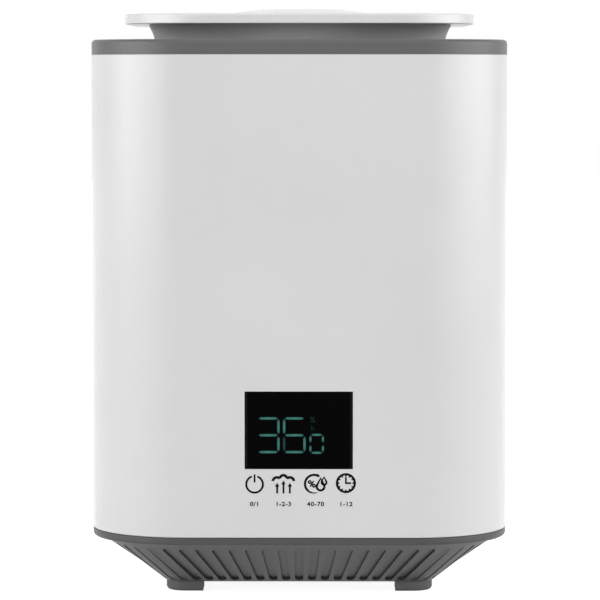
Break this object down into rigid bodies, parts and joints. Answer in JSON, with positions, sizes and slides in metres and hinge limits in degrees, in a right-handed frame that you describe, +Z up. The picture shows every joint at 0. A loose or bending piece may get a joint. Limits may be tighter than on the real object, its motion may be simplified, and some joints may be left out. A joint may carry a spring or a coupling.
{
  "type": "ultrasonic humidifier",
  "caption": "White square table-top ultrasonic humidifier with a grey fluted base, lift-out top-filling tank, overhanging lid with turning mist outlet, and dark display window.",
  "frame": {"origin": "on the table, under the middle of the body", "axes": "+Z up, the display faces -Y, +X to the viewer's right"},
  "size_m": [0.2, 0.2, 0.2814],
  "materials": {
    "shell_white": "glossy white moulded plastic",
    "lid_white": "glossy white moulded plastic",
    "base_grey": "satin mid-grey moulded plastic",
    "cover_grey": "satin mid-grey moulded plastic",
    "neck_grey": "satin light-grey moulded plastic",
    "foot_rubber": "grey soft pads",
    "window_black": "glossy near-black smoked acrylic",
    "tank_clear": "frosted translucent plastic",
    "inner_white": "plain white moulded plastic",
    "black_plastic": "black moulded plastic",
    "silicone": "translucent silicone rubber",
    "steel": "zinc-plated steel",
    "sink_aluminium": "extruded aluminium",
    "bush_brass": "sintered brass",
    "copper_winding": "enamelled copper winding",
    "disc_ceramic": "silvered piezo ceramic",
    "reed_glass": "sealed glass capsule",
    "magnet_black": "coated ferrite",
    "board_green": "solder-masked circuit board",
    "lead_black": "insulated lead"
  },
  "bodies": {
    "housing": {"base_housing": "base_grey", "base_plate": "base_grey", "rubber_feet": "foot_rubber", "outer_shell": "shell_white", "shell_screws": "steel", "cord_gland": "black_plastic", "display_window": "window_black", "display_bracket": "black_plastic", "display_board": "board_green", "led_module": "black_plastic", "touch_springs": "steel", "display_screws": "steel", "nebuliser_chamber": "inner_white", "air_pipe": "inner_white", "chassis_screws": "steel", "transducer_disc": "disc_ceramic", "transducer_seal": "silicone", "transducer_clamp": "steel", "clamp_screws": "steel", "reed_switch": "reed_glass", "fan_frame": "black_plastic", "fan_bush": "bush_brass", "fan_stator": "copper_winding", "fan_screws": "steel", "fan_duct": "black_plastic", "duct_gasket": "silicone", "power_board": "board_green", "power_components": "black_plastic", "driver_board": "board_green", "driver_components": "black_plastic", "heat_sink": "sink_aluminium", "board_screws": "steel", "humidity_sensor": "board_green", "display_cable": "lead_black", "transducer_lead": "lead_black", "fan_lead": "lead_black"},
    "fan": {"fan_rotor": "black_plastic"},
    "float": {"float_ring": "inner_white", "float_magnet": "magnet_black"},
    "tank": {"water_tank": "tank_clear", "top_cover": "cover_grey", "filler_neck": "neck_grey", "mist_tube": "inner_white", "tube_seal": "silicone", "valve_housing": "inner_white", "valve_spring": "steel"},
    "valve": {"valve_plunger": "inner_white", "valve_seal": "silicone"},
    "lid": {"lid": "lid_white", "lid_spigot": "lid_white", "lid_duct": "lid_white", "lid_seal": "silicone"},
    "nozzle": {"mist_nozzle": "lid_white", "nozzle_clip": "inner_white"}
  },
  "joints": [
    {"name": "tank_lift", "type": "slide", "parent": "housing", "child": "tank", "axis": [0, 0, 1], "range_m": [0, 0.16]},
    {"name": "valve_close", "type": "slide", "parent": "tank", "child": "valve", "axis": [0, 0, 1], "range_m": [-0.003, 0], "deforming": ["valve_spring"]},
    {"name": "lid_lift", "type": "slide", "parent": "tank", "child": "lid", "axis": [0, 0, 1], "range_m": [0, 0.06]},
    {"name": "nozzle_turn", "type": "hinge", "parent": "lid", "child": "nozzle", "pos_m": [0, 0, 0.279], "axis": [0, 0, 1], "continuous": true},
    {"name": "float_rise", "type": "slide", "parent": "housing", "child": "float", "axis": [0, 0, 1], "range_m": [0, 0.01]},
    {"name": "fan_spin", "type": "hinge", "parent": "housing", "child": "fan", "pos_m": [0, 0.033, 0.019], "axis": [0, 0, 1], "continuous": true}
  ],
  "couplings": [
    {"joint": "valve_close", "follows": "tank_lift", "ratio": -0.0187}
  ]
}
